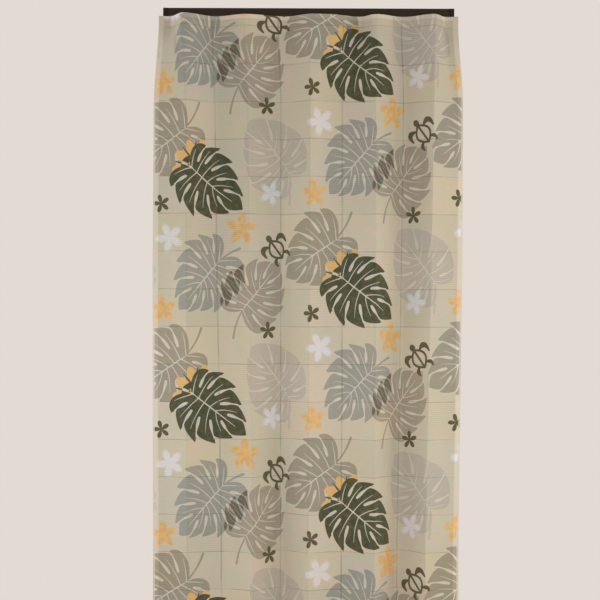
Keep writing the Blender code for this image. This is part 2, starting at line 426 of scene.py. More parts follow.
# %% [markdown]
# ## Laying the print out
# Rotary screens repeat every turn of the roller, here 64 cm, and each next column starts almost
# half a repeat lower, so the eye finds no rows. The motifs of one repeat stand in the tables
# below, in cm from the left edge and down from the top edge of the flat cloth.

# %% Layout of one repeat
REPEAT_DOWN = 64.0
NEXT_ACROSS, NEXT_DOWN = 48.2, 31.0

# In the order of printing: a later screen covers an earlier one. BARE and GAP are cloth without
# ink, outside and inside a motif, and SHADOW is where the blue and the sand leaf overlap
BARE, GAP, MIST, TAUPE, ORANGE, ORANGE_LINE, BLUE, SAND, SHADOW, GREEN, OLIVE = range(11)
# A face of the mesh carries its screen divided by this
SCREEN_SCALE = 20.0

# screen, base, tip, the stalk's far end and bend or None, the halves, a number that varies lobes.
# Each half: lobes, turn and reach of the lowest lobe, and how far the notches open towards 1
LEAVES = (
    (MIST, (43.2, 45.0), (30.4, 30.0), (43.0, 53.5, 0.12), ((4, 95, 0.35, 0.1), (6, 110, 0.4, 0.2)), 0.4),
    (TAUPE, (10.4, 32.4), (-6.2, 43.5), (14.6, 25.0, -0.14), ((5, 90, 0.5, 0.3), (6, 115, 0.35, 0.3)), 1.3),
    (BLUE, (21.0, 5.5), (7.8, 19.8), (27.2, 2.3, 0.12), ((6, 120, 0.4, 0.4), (7, 110, 0.4, 0.35)), 2.1),
    (SAND, (27.4, 20.0), (39.8, 6.0), (24.7, 27.8, -0.14), ((5, 85, 0.5, 0.3), (6, 100, 0.4, 0.3)), 3.2),
    (GREEN, (11.4, 43.2), (28.2, 55.3), None, ((5, 100, 0.4, 0.4), (5, 85, 0.4, 0.35)), 4.4),
)
OLIVE_FLOWERS = (((35.7, 25.7), 2.6, -1.62), ((2.5, 53.7), 2.6, -1.85))
BIG_FLOWER = (14.0, 43.5)
FIRST_PETAL, PETAL_STEP, PETAL_COUNT = -1.35, TURN / 10, 4
PETAL_LONG, PETAL_WIDE = 8.3, 0.42
BIG_PETALS = [FIRST_PETAL - i * PETAL_STEP for i in range(PETAL_COUNT)]
PETAL_LINE_FROM, PETAL_LINE_TO, PETAL_LINE_WIDTHS = 3.2, 7.2, (0.6, 0.6, 0.4)
STALK_ROOT, STALK_WIDTHS = 0.1, (0.5, 0.5, 0.7)
TURTLE = (38.6, 2.5)


def place(points, base, tip):
    """Sets a shape drawn from 0 to 1 between a base and a tip on the flat cloth."""
    base, tip = np.array(base), np.array(tip)
    axis = tip - base
    return base + points[:, :1] * axis + points[:, 1:] * quarter(axis)


shapes = []
for screen, base, tip, stalk, halves, seed in LEAVES:
    outline, bare = leaf(halves, seed)
    if stalk:
        *end, sideways = stalk
        root = between(np.array([base, tip]), STALK_ROOT)
        bend = (root + end) / 2 - sideways * quarter(end - root)
        shapes.append((screen, "ink", brush(root, bend, end, STALK_WIDTHS)))
    shapes.append((screen, "ink", place(outline, base, tip)))
    for shape in bare:
        shapes.append((screen, "bare", place(shape, base, tip)))

petal = oval(1.0, PETAL_WIDE) + (0.5, 0.0)
for turn in BIG_PETALS:
    tip = BIG_FLOWER + PETAL_LONG * towards(turn)
    shapes.append((ORANGE, "ink", place(petal, BIG_FLOWER, tip)))
# A dark brush line between each two petals
for turn in BIG_PETALS[1:]:
    ahead = towards(turn + PETAL_STEP / 2)
    near, far = BIG_FLOWER + PETAL_LINE_FROM * ahead, BIG_FLOWER + PETAL_LINE_TO * ahead
    shapes.append((ORANGE_LINE, "ink", brush(near, (near + far) / 2, far, PETAL_LINE_WIDTHS)))

# The green leaf's stalk is left bare inside a small collar of ink
COLLAR = ((-0.05, 0.12), (-0.13, 0.0), (-0.05, -0.12), (0.06, 0.1, 0.06))
BARE_STALK = ((-0.12, 0.03), (-0.04, 0.0), (0.05, 0.0), (0.04, 0.02))
for use, stroke in (("ink", COLLAR), ("bare", BARE_STALK)):
    shapes.append((GREEN, use, place(brush(*stroke), *LEAVES[-1][1:3])))

for centre, radius, turn in OLIVE_FLOWERS:
    shapes.append((OLIVE, "ink", flower(radius, turn) + np.array(centre)))

# %% The turtle
# A lens for its shell, a line for its keel, an oval for its head, and flippers and feet in pairs
TURTLE_TURN = 231 * DEGREE
SHELL_LONG, SHELL_WIDE = 6.0, 4.6
HEAD_LONG, HEAD_WIDE, HEAD_OUT = 2.1, 1.8, 0.4
LINE = 0.65
nose, tail = (SHELL_LONG / 2, 0.0), (-SHELL_LONG / 2, 0.0)
KEEL = (tail, (0.0, 0.0), nose, (LINE, LINE))
PAIRED_STROKES = (
    (tail, (0.0, SHELL_WIDE), nose, (LINE, LINE)),
    ((2.0, 1.6), (3.5, 4.5), (0.0, 4.0), (0.6, 1.7, 1.4, 0.5)),
    ((-2.0, 1.2), (-2.5, 3.0), (-4.0, 2.5), (0.6, 1.2, 0.6)),
)


def lay_turtle(outline):
    """Turns an outline drawn in cm with its nose to the right and sets it on the cloth."""
    shapes.append((OLIVE, "ink", place(outline, TURTLE, TURTLE + towards(TURTLE_TURN))))


lay_turtle(oval(HEAD_LONG, HEAD_WIDE) + (SHELL_LONG / 2 + HEAD_OUT * HEAD_LONG, 0.0))
strokes = [(1, KEEL)] + [(mirror, stroke) for stroke in PAIRED_STROKES for mirror in (1, -1)]
for mirror, (*line, widths) in strokes:
    lay_turtle(brush(*np.array(line) * (1, mirror), widths, steps=14))
print(f"One repeat has {len(shapes)} printed shapes")

# %% [markdown]
# ## From flat shapes to one mesh
# A constrained triangulation puts every printed outline and every crease into the same flat mesh.
# Each triangle then lies in one ink or none, and on one side of each crease, so both the print's
# edges and the folds stay sharp. The grid lines are close together at the creases and the hems.

# %% The flat grid
PEAK_STEPS, VALLEY_STEPS, PANEL_STEPS = 4, 6, 5
HEADING_ROWS = [0.0, 0.003, 0.006, 0.009, TOP_HEM, TOP_HEM + HEM_STEP]
SHOULDER_START = 0.02
SHOULDER_ROWS, BODY_ROWS = 22, 44


def flat_columns():
    """Flat places of the grid's columns."""
    ends = [HEM_STEP + SIDE_HEM, SIDE_HEM, 0.0]
    columns = sorted(ends)
    for i in range(1, PLEATS):
        steps, reach = (PEAK_STEPS, PEAK_REACH) if i % 2 else (VALLEY_STEPS, VALLEY_REACH)
        crease = i * PLEAT + reach * np.linspace(-1, 1, steps + 1)
        columns += list(np.linspace(columns[-1], crease[0], PANEL_STEPS + 1)[1:-1])
        columns += list(crease)
    right = [FLAT_WIDTH - end for end in ends]
    columns += list(np.linspace(columns[-1], right[0], PANEL_STEPS + 1)[1:-1])
    return np.array(columns + right)


def drop_rows():
    """Drops of the grid's rows: close at the heading and the shoulder."""
    hem = CLOTH_DROP - FOOT_HEM
    shoulder = np.linspace(SHOULDER_START, SHOULDER, SHOULDER_ROWS)
    body = np.linspace(SHOULDER, hem - HEM_STEP, BODY_ROWS)[1:]
    return np.array(HEADING_ROWS + list(shoulder) + list(body) + [hem, CLOTH_DROP])


columns = flat_columns() / CM
rows = drop_rows() / CM
wide, tall = columns[-1], rows[-1]

points = [(0.0, 0.0), (wide, 0.0), (wide, tall), (0.0, tall)]
edges = []
for ends in [((x, 0.0), (x, tall)) for x in columns] + [((0.0, y), (wide, y)) for y in rows]:
    points += ends
    edges.append((len(points) - 2, len(points) - 1))
print(f"The grid has {len(columns)} columns and {len(rows)} rows")

# %% Every copy of every motif that touches the cloth
COPIES_ACROSS, COPIES_DOWN = range(-1, 4), range(-3, 4)
MERGE_WITHIN = 1e-4


def counter_clockwise(outline):
    """The outline in the direction that the triangulation expects."""
    ahead = np.roll(outline, -1, axis=0)
    area = np.sum(outline[:, 0] * ahead[:, 1] - ahead[:, 0] * outline[:, 1])
    return outline if area > 0 else outline[::-1]


faces = [[0, 1, 2, 3]]
face_facts = [None]
for column in COPIES_ACROSS:
    for row in COPIES_DOWN:
        shift = np.array([column * NEXT_ACROSS, column * NEXT_DOWN + row * REPEAT_DOWN])
        for screen, use, outline in shapes:
            moved = counter_clockwise(outline) + shift
            if (moved.max(axis=0) < 0).any() or (moved.min(axis=0) > (wide, tall)).any():
                continue
            faces.append(list(range(len(points), len(points) + len(moved))))
            points += moved.tolist()
            face_facts.append((screen, use))

flat_points, _, triangles, _, _, origins = delaunay_2d_cdt(
    [Vector(p) for p in points], edges, faces, 0, MERGE_WITHIN, True
)
flat = np.array([tuple(p) for p in flat_points]) * CM
print(f"{len(faces) - 1} printed shapes touch the cloth")

# %% Which ink each triangle carries
kept, inks = [], []
for triangle, origin in zip(triangles, origins):
    if 0 not in origin:
        continue
    here = [face_facts[face] for face in origin if face]
    inked = {screen for screen, use in here if use == "ink"}
    bared = {screen for screen, use in here if use == "bare"}
    top = BARE
    for screen in sorted(inked, reverse=True):
        if screen not in bared:
            top = screen
            break
        if screen == GREEN:
            # The green leaf's veins and slits show bare cloth, whatever lies below
            break
    if top in (BLUE, SAND) and {BLUE, SAND} <= inked - bared:
        top = SHADOW
    if top == BARE and bared:
        top = GAP
    kept.append(triangle)
    inks.append(top)
kept, inks = np.array(kept), np.array(inks)
print(f"{len(flat)} points and {len(kept)} triangles in each skin")

# %% [markdown]
# The sheet is closed like real cloth: a front skin, a back skin a little over a millimetre behind
# it, and a narrow rim where the two meet. The hems are the same cloth turned over, so they are
# thicker. Normals come from the fold formula and not from the triangles, which keeps the light
# even where a printed outline makes the triangles uneven.

# %% Front skin, back skin and rim
TOUCH = 1e-6
used, kept = np.unique(kept, return_inverse=True)
kept = kept.reshape(-1, 3)
flat = np.clip(flat[used], 0.0, (FLAT_WIDTH, CLOTH_DROP))
count = len(flat)

along, drop = flat[:, 0], flat[:, 1]
in_side_hem = (along <= SIDE_HEM + TOUCH) | (along >= FLAT_WIDTH - SIDE_HEM - TOUCH)
in_end_hem = (drop <= TOP_HEM + TOUCH) | (drop >= CLOTH_DROP - FOOT_HEM - TOUCH)
half = np.where(in_side_hem | in_end_hem, HEM_THICK, CLOTH_THICK) / 2
middle = hang(along, drop)
normal = facing(along, drop)
corners = np.concatenate([middle + normal * half[:, None], middle - normal * half[:, None]])

front = kept[:, ::-1]
back = kept + count
sides = np.concatenate([kept[:, [0, 1]], kept[:, [1, 2]], kept[:, [2, 0]]])
keys = np.sort(sides, axis=1)
_, first, uses = np.unique(keys, axis=0, return_index=True, return_counts=True)
rim_sides = sides[first[uses == 1]]
rim = rim_sides[:, [0, 1, 1, 0]] + (0, 0, count, count)
print(f"The rim has {len(rim)} narrow faces")

mesh = bpy.data.meshes.new("curtain_cloth")
cloth_faces = front.tolist() + back.tolist() + rim.tolist()
mesh.from_pydata(corners.tolist(), [], cloth_faces, shade_flat=False)

# %% Normals from the folds
NEVER_ZERO = 1e-12
rim_a, rim_b, rim_c = (corners[rim[:, i]] for i in range(3))
rim_normal = np.cross(rim_b - rim_a, rim_c - rim_b)
rim_normal /= np.maximum(np.linalg.norm(rim_normal, axis=1), NEVER_ZERO)[:, None]
loop_normals = np.concatenate([
    normal[front].reshape(-1, 3),
    -normal[kept].reshape(-1, 3),
    np.repeat(rim_normal, 4, axis=0),
])
mesh.normals_split_custom_set(loop_normals.tolist())

# %% Flat positions for the weave, and a second map that never overlaps
flat_map = mesh.uv_layers.new(name="flat_position")
loops = np.concatenate([front.ravel(), kept.ravel(), rim_sides[:, [0, 1, 1, 0]].ravel()])
flat_map.data.foreach_set("uv", flat[loops].astype(np.float32).ravel())

MAP_SCALE, MAP_EDGE, BACK_ACROSS = 0.485, 0.005, 0.505
RIM_ACROSS, RIM_LONG, RIM_LOW, RIM_HIGH = 0.01, 0.98, 0.95, 0.955
front_map = flat[front.ravel()] * MAP_SCALE + MAP_EDGE
back_map = flat[kept.ravel()] * MAP_SCALE + (BACK_ACROSS, MAP_EDGE)
rim_length = np.linalg.norm(flat[rim_sides[:, 1]] - flat[rim_sides[:, 0]], axis=1)
rim_start = np.append(0.0, np.cumsum(rim_length))
rim_start = rim_start / rim_start[-1] * RIM_LONG + RIM_ACROSS
rim_left, rim_right = rim_start[:-1], rim_start[1:]
rim_along = np.stack([rim_left, rim_right, rim_right, rim_left], axis=1).ravel()
rim_up = np.tile([RIM_LOW, RIM_LOW, RIM_HIGH, RIM_HIGH], len(rim))
rim_map = np.stack([rim_along, rim_up], axis=1)
bake_map = mesh.uv_layers.new(name="OFBake")
bake_values = np.concatenate([front_map, back_map, rim_map])
bake_map.data.foreach_set("uv", bake_values.astype(np.float32).ravel())

# %% Ink and side as numbers that the material reads
screen_value = np.concatenate([inks, inks, np.zeros(len(rim))]) / SCREEN_SCALE
side_value = np.repeat((0.0, 1.0, 0.5), (len(front), len(back), len(rim)))
for name, values in (("print_screen", screen_value), ("far_side", side_value)):
    layer = mesh.attributes.new(name, "FLOAT", "FACE")
    layer.data.foreach_set("value", values.astype(np.float32))
mesh.validate()
cloth = put("curtain_cloth", mesh)
print(f"The cloth has {len(mesh.polygons)} faces")

# %% [markdown]
# ## Shader helpers
# A few functions keep the node code short. They make a node and link what it is given, do
# arithmetic in the tree that their sockets belong to, and open a material or a node group.

# %% Node helpers


def paint(red, green, blue):
    """A colour as seen on a screen, from 0 to 255, as the linear light that a shader takes."""
    seen = np.array([red, green, blue]) / 255.0
    linear = np.where(seen <= 0.04045, seen / 12.92, ((seen + 0.055) / 1.055) ** 2.4)
    return (*[float(c) for c in linear], 1.0)


def feed(tree, made, **inputs):
    """Sets or links inputs, named as in Blender with _ for a blank, or by number as in_0."""
    for key, value in inputs.items():
        socket = made.inputs[int(key[3:]) if key.startswith("in_") else key.replace("_", " ")]
        if isinstance(value, bpy.types.NodeSocket):
            tree.links.new(value, socket)
        else:
            socket.default_value = value
    return made


def node(tree, kind, settings=(), **inputs):
    """Adds a node with its settings and its inputs."""
    made = tree.nodes.new("ShaderNode" + kind)
    for key, value in settings:
        setattr(made, key, value)
    return feed(tree, made, **inputs)


def tree_of(*values):
    """The node tree that the sockets among these values belong to."""
    return next(value.id_data for value in values if isinstance(value, bpy.types.NodeSocket))


def math(operation, *values):
    """One arithmetic step, and the socket with its result."""
    inputs = {f"in_{i}": value for i, value in enumerate(values)}
    return node(tree_of(*values), "Math", [("operation", operation)], **inputs).outputs[0]


def times(first, second):
    """Two values multiplied."""
    return math("MULTIPLY", first, second)


def flipped(value):
    """1 minus a value, which turns a mask inside out."""
    return math("SUBTRACT", 1.0, value)


def step_up(value, start, end):
    """0 below start and 1 above end, with a soft slope between them."""
    kind = [("interpolation_type", "SMOOTHSTEP")]
    return node(tree_of(value), "MapRange", kind, in_0=value, in_1=start, in_2=end).outputs[0]


def mix(share, first, second, blend="MIX"):
    """Two colours mixed, with a share from 0 to 1."""
    tree = tree_of(share, first, second)
    settings = [("data_type", "RGBA"), ("blend_type", blend)]
    return node(tree, "Mix", settings, in_0=share, in_6=first, in_7=second).outputs[2]


def noise(where, scale, detail=3.0):
    """An uneven value between 0 and 1."""
    return node(tree_of(where), "TexNoise", Vector=where, Scale=scale, Detail=detail).outputs[0]


def open_material(name):
    """A new material: itself, its tree and its Principled shader."""
    look = bpy.data.materials.new(name)
    look.use_nodes = True
    return look, look.node_tree, look.node_tree.nodes["Principled BSDF"]


def open_group(name, inputs, outputs):
    """An empty node group with its sockets: its tree, its inputs and a function that closes it."""
    tree = bpy.data.node_groups.new(name, "ShaderNodeTree")
    for kind, sockets in (("INPUT", inputs), ("OUTPUT", outputs)):
        for label, socket in sockets.items():
            tree.interface.new_socket(label, in_out=kind, socket_type="NodeSocket" + socket)
    entry = tree.nodes.new("NodeGroupInput")
    leave = tree.nodes.new("NodeGroupOutput")

    def close(**results):
        feed(tree, leave, **results)
        print(f"Group {name}: {len(tree.nodes)} nodes")

    return tree, entry.outputs, close


def use_group(tree, name, **inputs):
    """Puts a node group into a tree and returns its outputs."""
    group = bpy.data.node_groups[name]
    return node(tree, "Group", [("node_tree", group)], **inputs).outputs


# %% [markdown]
# ## What the lace weave does
# Up close the cloth is a fine net of threads 0.8 mm apart. Heavier weft threads lie every 5 to
# 6 mm in bands, which show as faint ribs, and a thin open line crosses the whole width every
# 10.7 cm, like a window pane's bar. The squares that these lines and the creases make aren't
# quite one colour: some lean to pink, some to grey, yellow or blue.

# %% Group: threads and ribs
THREAD = 0.0008
RIB = 0.0056
RIB_EDGE = (0.2, 1.0)
SLUB_STRETCH = (35.0, 900.0, 1.0)
NET_HEIGHT, SLUB_HEIGHT = 0.35, 0.8
NET_SHADE, RIB_SHADE, SLUB_SHADE = 0.05, -0.35, 0.5

tree, given, close = open_group(
    "cloth_threads",
    {"Position": "Vector", "Rib Amount": "Float"},
    {"Height": "Float", "Shade": "Float"},
)
where = node(tree, "SeparateXYZ", Vector=given["Position"]).outputs
warp = math("SINE", times(where[0], TURN / THREAD))
weft = math("SINE", times(where[1], TURN / THREAD))
net = times(warp, weft)
rib_wave = math("SINE", times(where[1], TURN / RIB))
rib = times(step_up(rib_wave, *RIB_EDGE), given["Rib Amount"])
slub = node(tree, "Mapping", Vector=given["Position"], Scale=SLUB_STRETCH).outputs[0]
slub = noise(slub, scale=1.0, detail=2.0)
height = math("ADD", times(net, NET_HEIGHT), rib)
height = math("ADD", height, times(slub, SLUB_HEIGHT))
shade = math("ADD", times(net, NET_SHADE), times(rib, RIB_SHADE))
shade = math("ADD", shade, times(math("SUBTRACT", slub, 0.5), SLUB_SHADE))
close(Height=height, Shade=shade)

# %% Group: pane lines, pressed crease lines with painted shade, and the squares between them
PANE_FIRST, PANE_STEP = 0.0316, 0.10667
# A line is full up to the first distance and gone at the second
PANE_LINE, VALLEY_CREASE_SHADE, PEAK_CREASE_SHADE = (0.00048, 0.0016), (0.0008, 0.0038), (0.0004, 0.0016)
LINE_FADE_EDGE, LINE_FADE_LEAST = (0.34, 0.62), 0.40
PINK_BATCH, GREY_BATCH = (1.05, 1.02, 1.01, 1.0), (0.95, 0.98, 0.99, 1.0)
YELLOW_BATCH, BLUE_BATCH = (1.01, 1.00, 0.955, 1.0), (0.99, 1.00, 1.045, 1.0)
DRIFT_EDGE, RIBBED_EDGE = (0.3, 0.7), (0.35, 0.75)
PINK_DRIFT, GREEN_DRIFT = (1.03, 0.99, 1.01, 1.0), (0.97, 1.01, 0.99, 1.0)

tree, given, close = open_group(
    "cloth_panes",
    {"Position": "Vector"},
    {"Pane Line": "Float", "Peak Line": "Float", "Valley Line": "Float",
     "Tint": "Color", "Ribbed": "Float"},
)
where = node(tree, "SeparateXYZ", Vector=given["Position"]).outputs
across = math("DIVIDE", where[0], PLEAT)
down = math("DIVIDE", math("SUBTRACT", where[1], PANE_FIRST), PANE_STEP)
from_pane = times(math("PINGPONG", down, 0.5), PANE_STEP)
from_valley = times(math("PINGPONG", across, 1.0), PLEAT)
from_peak = math("SUBTRACT", PLEAT, from_valley)
line_fade = noise(given["Position"], scale=13.0, detail=2.0)
line_fade = step_up(line_fade, *LINE_FADE_EDGE)
line_fade = math("MULTIPLY_ADD", line_fade, 1 - LINE_FADE_LEAST, LINE_FADE_LEAST)
pane_line = times(flipped(step_up(from_pane, *PANE_LINE)), line_fade)
# Painted shade: the valley line darkens the pressed crease where the fold's shadow falls
valley_crease_shade = times(flipped(step_up(from_valley, *VALLEY_CREASE_SHADE)), line_fade)
# Painted shade: a fainter dark line along each pressed peak crease
peak_crease_shade = flipped(step_up(from_peak, *PEAK_CREASE_SHADE))
cell = node(tree, "CombineXYZ", X=math("FLOOR", across), Y=math("FLOOR", down)).outputs[0]
dice = node(tree, "TexWhiteNoise", Vector=cell).outputs
throws = node(tree, "SeparateColor", Color=dice["Color"]).outputs
tint = mix(dice["Value"], PINK_BATCH, GREY_BATCH)
tint = mix(1.0, tint, mix(throws[2], YELLOW_BATCH, BLUE_BATCH), "MULTIPLY")
drift = noise(given["Position"], scale=24.0, detail=2.0)
drift = mix(step_up(drift, *DRIFT_EDGE), PINK_DRIFT, GREEN_DRIFT)
tint = mix(1.0, tint, drift, "MULTIPLY")
ribbed = step_up(throws[1], *RIBBED_EDGE)
close(Pane_Line=pane_line, Peak_Line=peak_crease_shade, Valley_Line=valley_crease_shade, Tint=tint, Ribbed=ribbed)

# %% [markdown]
# A hem is the same net turned over and sewn, so it's twice as dense: paler, flat and without the
# open lines. A row of small stitches runs beside its inner edge. The print thins out towards the
# selvedge, so the outer third of each side hem is nearly bare and lighter, a painted highlight along
# the cloth's side edges. The distance to the nearest edge says where the hems are, and the stitches
# are a wave along that edge.

# %% Group: hems
STITCH, STITCH_IN, STITCH_WIDE = 0.0032, 0.0020, 0.0005
STITCH_BEAT = (-0.6, -0.1)
HEM_SOFT, SELVEDGE, SELVEDGE_SOFT = 0.0004, 0.0055, 0.0008

tree, given, close = open_group(
    "cloth_hems",
    {"Position": "Vector"},
    {"Hem": "Float", "Selvedge": "Float", "Stitches": "Float"},
)
where = node(tree, "SeparateXYZ", Vector=given["Position"]).outputs
middle_way = math("ABSOLUTE", math("SUBTRACT", where[0], FLAT_WIDTH / 2))
from_side = math("SUBTRACT", FLAT_WIDTH / 2, middle_way)
from_foot = math("SUBTRACT", CLOTH_DROP, where[1])
hem, stitches = None, None
for distance, width, line_along in (
    (from_side, SIDE_HEM, where[1]),
    (where[1], TOP_HEM, where[0]),
    (from_foot, FOOT_HEM, where[0]),
):
    here = flipped(step_up(distance, width - HEM_SOFT, width + HEM_SOFT))
    off_line = math("ABSOLUTE", math("SUBTRACT", distance, width - STITCH_IN))
    on_line = flipped(step_up(off_line, STITCH_WIDE / 2, STITCH_WIDE))
    beat = math("SINE", times(line_along, TURN / STITCH))
    sewn = times(on_line, step_up(beat, *STITCH_BEAT))
    hem = here if hem is None else math("MAXIMUM", hem, here)
    stitches = sewn if stitches is None else math("MAXIMUM", stitches, sewn)
selvedge = step_up(from_side, SELVEDGE - SELVEDGE_SOFT, SELVEDGE + SELVEDGE_SOFT)
selvedge = flipped(selvedge)
close(Hem=hem, Selvedge=selvedge, Stitches=stitches)

# %% [markdown]
# The white and the pale orange flowers are printed soft: their edges fade over a centimetre or
# two. A formula in the shader does that better than an outline, and one group draws every copy,
# because it first moves its flat position back into one repeat of the pattern.

# %% Group: soft flower
SOFT_PINCH, SOFT_HEART = 1.05, 0.34
SOFT_UNEVEN, SOFT_EDGE = 0.007, (-0.008, 0.009)

tree, given, close = open_group(
    "soft_flower",
    {"Position": "Vector", "Centre": "Vector", "Radius": "Float", "Turn": "Float"},
    {"Mask": "Float"},
)
away = node(
    tree, "VectorMath", [("operation", "SUBTRACT")], in_0=given["Position"], in_1=given["Centre"]
).outputs[0]
where = node(tree, "SeparateXYZ", Vector=away).outputs
column = math("ROUND", math("DIVIDE", where[0], NEXT_ACROSS * CM))
across = math("SUBTRACT", where[0], times(column, NEXT_ACROSS * CM))
down = math("SUBTRACT", where[1], times(column, NEXT_DOWN * CM))
row = math("ROUND", math("DIVIDE", down, REPEAT_DOWN * CM))
down = math("SUBTRACT", down, times(row, REPEAT_DOWN * CM))
distance = math("SQRT", math("ADD", math("POWER", across, 2.0), math("POWER", down, 2.0)))
angle = math("ADD", math("ARCTAN2", down, across), given["Turn"])
petals = math("ABSOLUTE", math("COSINE", times(angle, FLOWER_PETALS / 2)))
petals = math("POWER", petals, SOFT_PINCH)
edge = math("MULTIPLY_ADD", petals, 1 - SOFT_HEART, SOFT_HEART)
edge = times(edge, given["Radius"])
inside = math("SUBTRACT", edge, distance)
uneven = noise(given["Position"], scale=120.0)
uneven = math("MULTIPLY_ADD", uneven, 2 * SOFT_UNEVEN, -SOFT_UNEVEN)
inside = math("ADD", inside, uneven)
close(Mask=step_up(inside, *SOFT_EDGE))

# %% [markdown]
# Every printed triangle carries one number, its screen. Two stepped colour ramps turn that number
# into the ink's colour and its strength. The pale inks are thin, so more of the cloth's own
# colour comes through them. The bare gaps inside a leaf look cooler and paler than open cloth, so
# they have a thin tone of their own.

# %% Group: screen inks
INKS = (
    # screen, colour, strength
    (BARE, (214, 203, 178), 0.0),
    (GAP, (214, 211, 200), 0.5),
    (MIST, (189, 178, 165), 0.80),
    (TAUPE, (158, 149, 131), 0.93),
    (ORANGE, (230, 182, 108), 0.90),
    (ORANGE_LINE, (86, 70, 34), 0.92),
    (BLUE, (158, 156, 146), 0.95),
    (SAND, (168, 154, 137), 0.95),
    (SHADOW, (98, 91, 74), 0.95),
    (GREEN, (62, 69, 42), 0.98),
    (OLIVE, (82, 75, 47), 0.97),
)


def stepped_ramp(tree, value, colours):
    """A colour ramp with one flat step for each screen."""
    made = node(tree, "ValToRGB", Fac=value)
    ramp = made.color_ramp
    ramp.interpolation = "CONSTANT"
    while len(ramp.elements) < len(colours):
        ramp.elements.new(1.0)
    for i, colour in enumerate(colours):
        ramp.elements[i].position = max(i - 0.5, 0.0) / SCREEN_SCALE
        ramp.elements[i].color = colour
    return made.outputs["Color"]


tree, given, close = open_group(
    "screen_inks", {"Screen": "Float"}, {"Ink": "Color", "Strength": "Float"}
)
ink = stepped_ramp(tree, given["Screen"], [paint(*row[1]) for row in INKS])
strength = stepped_ramp(tree, given["Screen"], [(row[2],) * 3 + (1.0,) for row in INKS])
close(Ink=ink, Strength=strength)

# %% [markdown]
# ## The cloth's material
# Order matters as it does in the mill: yarn colour first, then the print in its screens, then the
# open lines and the pressed creases with their painted shade, the tint of each square, the hems,
# and the threads' own light and shade over everything. Ink never covers evenly, so its share varies
# with a slow and a fine noise. On the back the same print shows, but weaker, because the ink only
# strikes through. Matt polyester has a wide soft sheen and little gloss.

# %% Cloth material
YARN = paint(209, 198, 175)
WHITE_INK = paint(228, 224, 228)
DEEP_ORANGE, PALE_ORANGE = paint(227, 172, 102), paint(232, 190, 118)
BROWNED = paint(88, 76, 40)
HEM_PALE = (1.20, 1.20, 1.25, 1.0)
LINE_SHADE = paint(112, 97, 78)
PANE_SHARE, VALLEY_SHADE_SHARE, PEAK_SHADE_SHARE, STITCH_SHARE = 0.45, 0.36, 0.12, 0.30
STRIKE_LOSS, SELVEDGE_LOSS, THREAD_LIGHT = -0.35, -0.8, 0.30
RIB_LEAST, BROWN_SHARE, BROWN_EDGE = 0.2, 0.55, (0.42, 0.66)
ORANGE_EDGE, SLOW_EDGE, FINE_EDGE = (0.38, 0.62), (0.34, 0.66), (0.3, 0.6)
# How much the ink's cover rises with each noise, and where it starts
SLOW_COVER, FINE_COVER = (0.06, 0.94), (0.08, 0.94)

look, tree, shader = open_material("printed_lace_cloth")
position = node(tree, "UVMap", [("uv_map", "flat_position")]).outputs[0]
panes = use_group(tree, "cloth_panes", Position=position)
hems = use_group(tree, "cloth_hems", Position=position)
single = flipped(hems["Hem"])
rib_amount = math("MULTIPLY_ADD", panes["Ribbed"], 1 - RIB_LEAST, RIB_LEAST)
rib_amount = times(rib_amount, single)
threads = use_group(tree, "cloth_threads", Position=position, Rib_Amount=rib_amount)

far_side = node(tree, "Attribute", [("attribute_name", "far_side")]).outputs["Fac"]
strike_through = math("MULTIPLY_ADD", far_side, STRIKE_LOSS, 1.0)

blot = noise(position, scale=70.0)
soft_orange = mix(step_up(blot, *ORANGE_EDGE), DEEP_ORANGE, PALE_ORANGE)
soft_flowers = (
    ((5.0, 63.3), 4.0, 2.0, WHITE_INK, 0.86),
    ((36.8, 50.4), 3.4, -0.05, WHITE_INK, 0.86),
    ((3.0, 19.6), 3.8, 1.68, soft_orange, 0.92),
    ((27.7, 60.7), 4.6, 1.52, soft_orange, 0.92),
)

screen = node(tree, "Attribute", [("attribute_name", "print_screen")]).outputs["Fac"]
inks_here = use_group(tree, "screen_inks", Screen=screen)
grain = noise(position, scale=420.0)
slow_cover = math("MULTIPLY_ADD", step_up(blot, *SLOW_EDGE), *SLOW_COVER)
fine_cover = math("MULTIPLY_ADD", step_up(grain, *FINE_EDGE), *FINE_COVER)
cover = math("MINIMUM", times(slow_cover, fine_cover), 1.0)
# Painted highlight: the ink thins out at the selvedge, so the side edges come out lighter
cover = times(cover, math("MULTIPLY_ADD", hems["Selvedge"], SELVEDGE_LOSS, 1.0))
cover = times(cover, strike_through)
ink_share = times(inks_here["Strength"], cover)
dark_ink = math("GREATER_THAN", screen, (SHADOW + 0.5) / SCREEN_SCALE)
patches = noise(position, scale=38.0)
browned = times(step_up(patches, *BROWN_EDGE), dark_ink)
browned = times(browned, BROWN_SHARE)
ink = mix(browned, inks_here["Ink"], BROWNED)
mist_only = math("LESS_THAN", screen, (MIST + 0.5) / SCREEN_SCALE)
under = mix(times(ink_share, mist_only), YARN, ink)
for centre, radius, turn, colour, strength in soft_flowers:
    spot = (centre[0] * CM, centre[1] * CM, 0.0)
    mask = use_group(
        tree, "soft_flower", Position=position, Centre=spot, Radius=radius * CM, Turn=turn
    )["Mask"]
    share = times(times(mask, strength), cover)
    under = mix(share, under, colour)
over_share = times(ink_share, flipped(mist_only))
printed = mix(over_share, under, ink)

line_shade = times(panes["Pane Line"], PANE_SHARE)
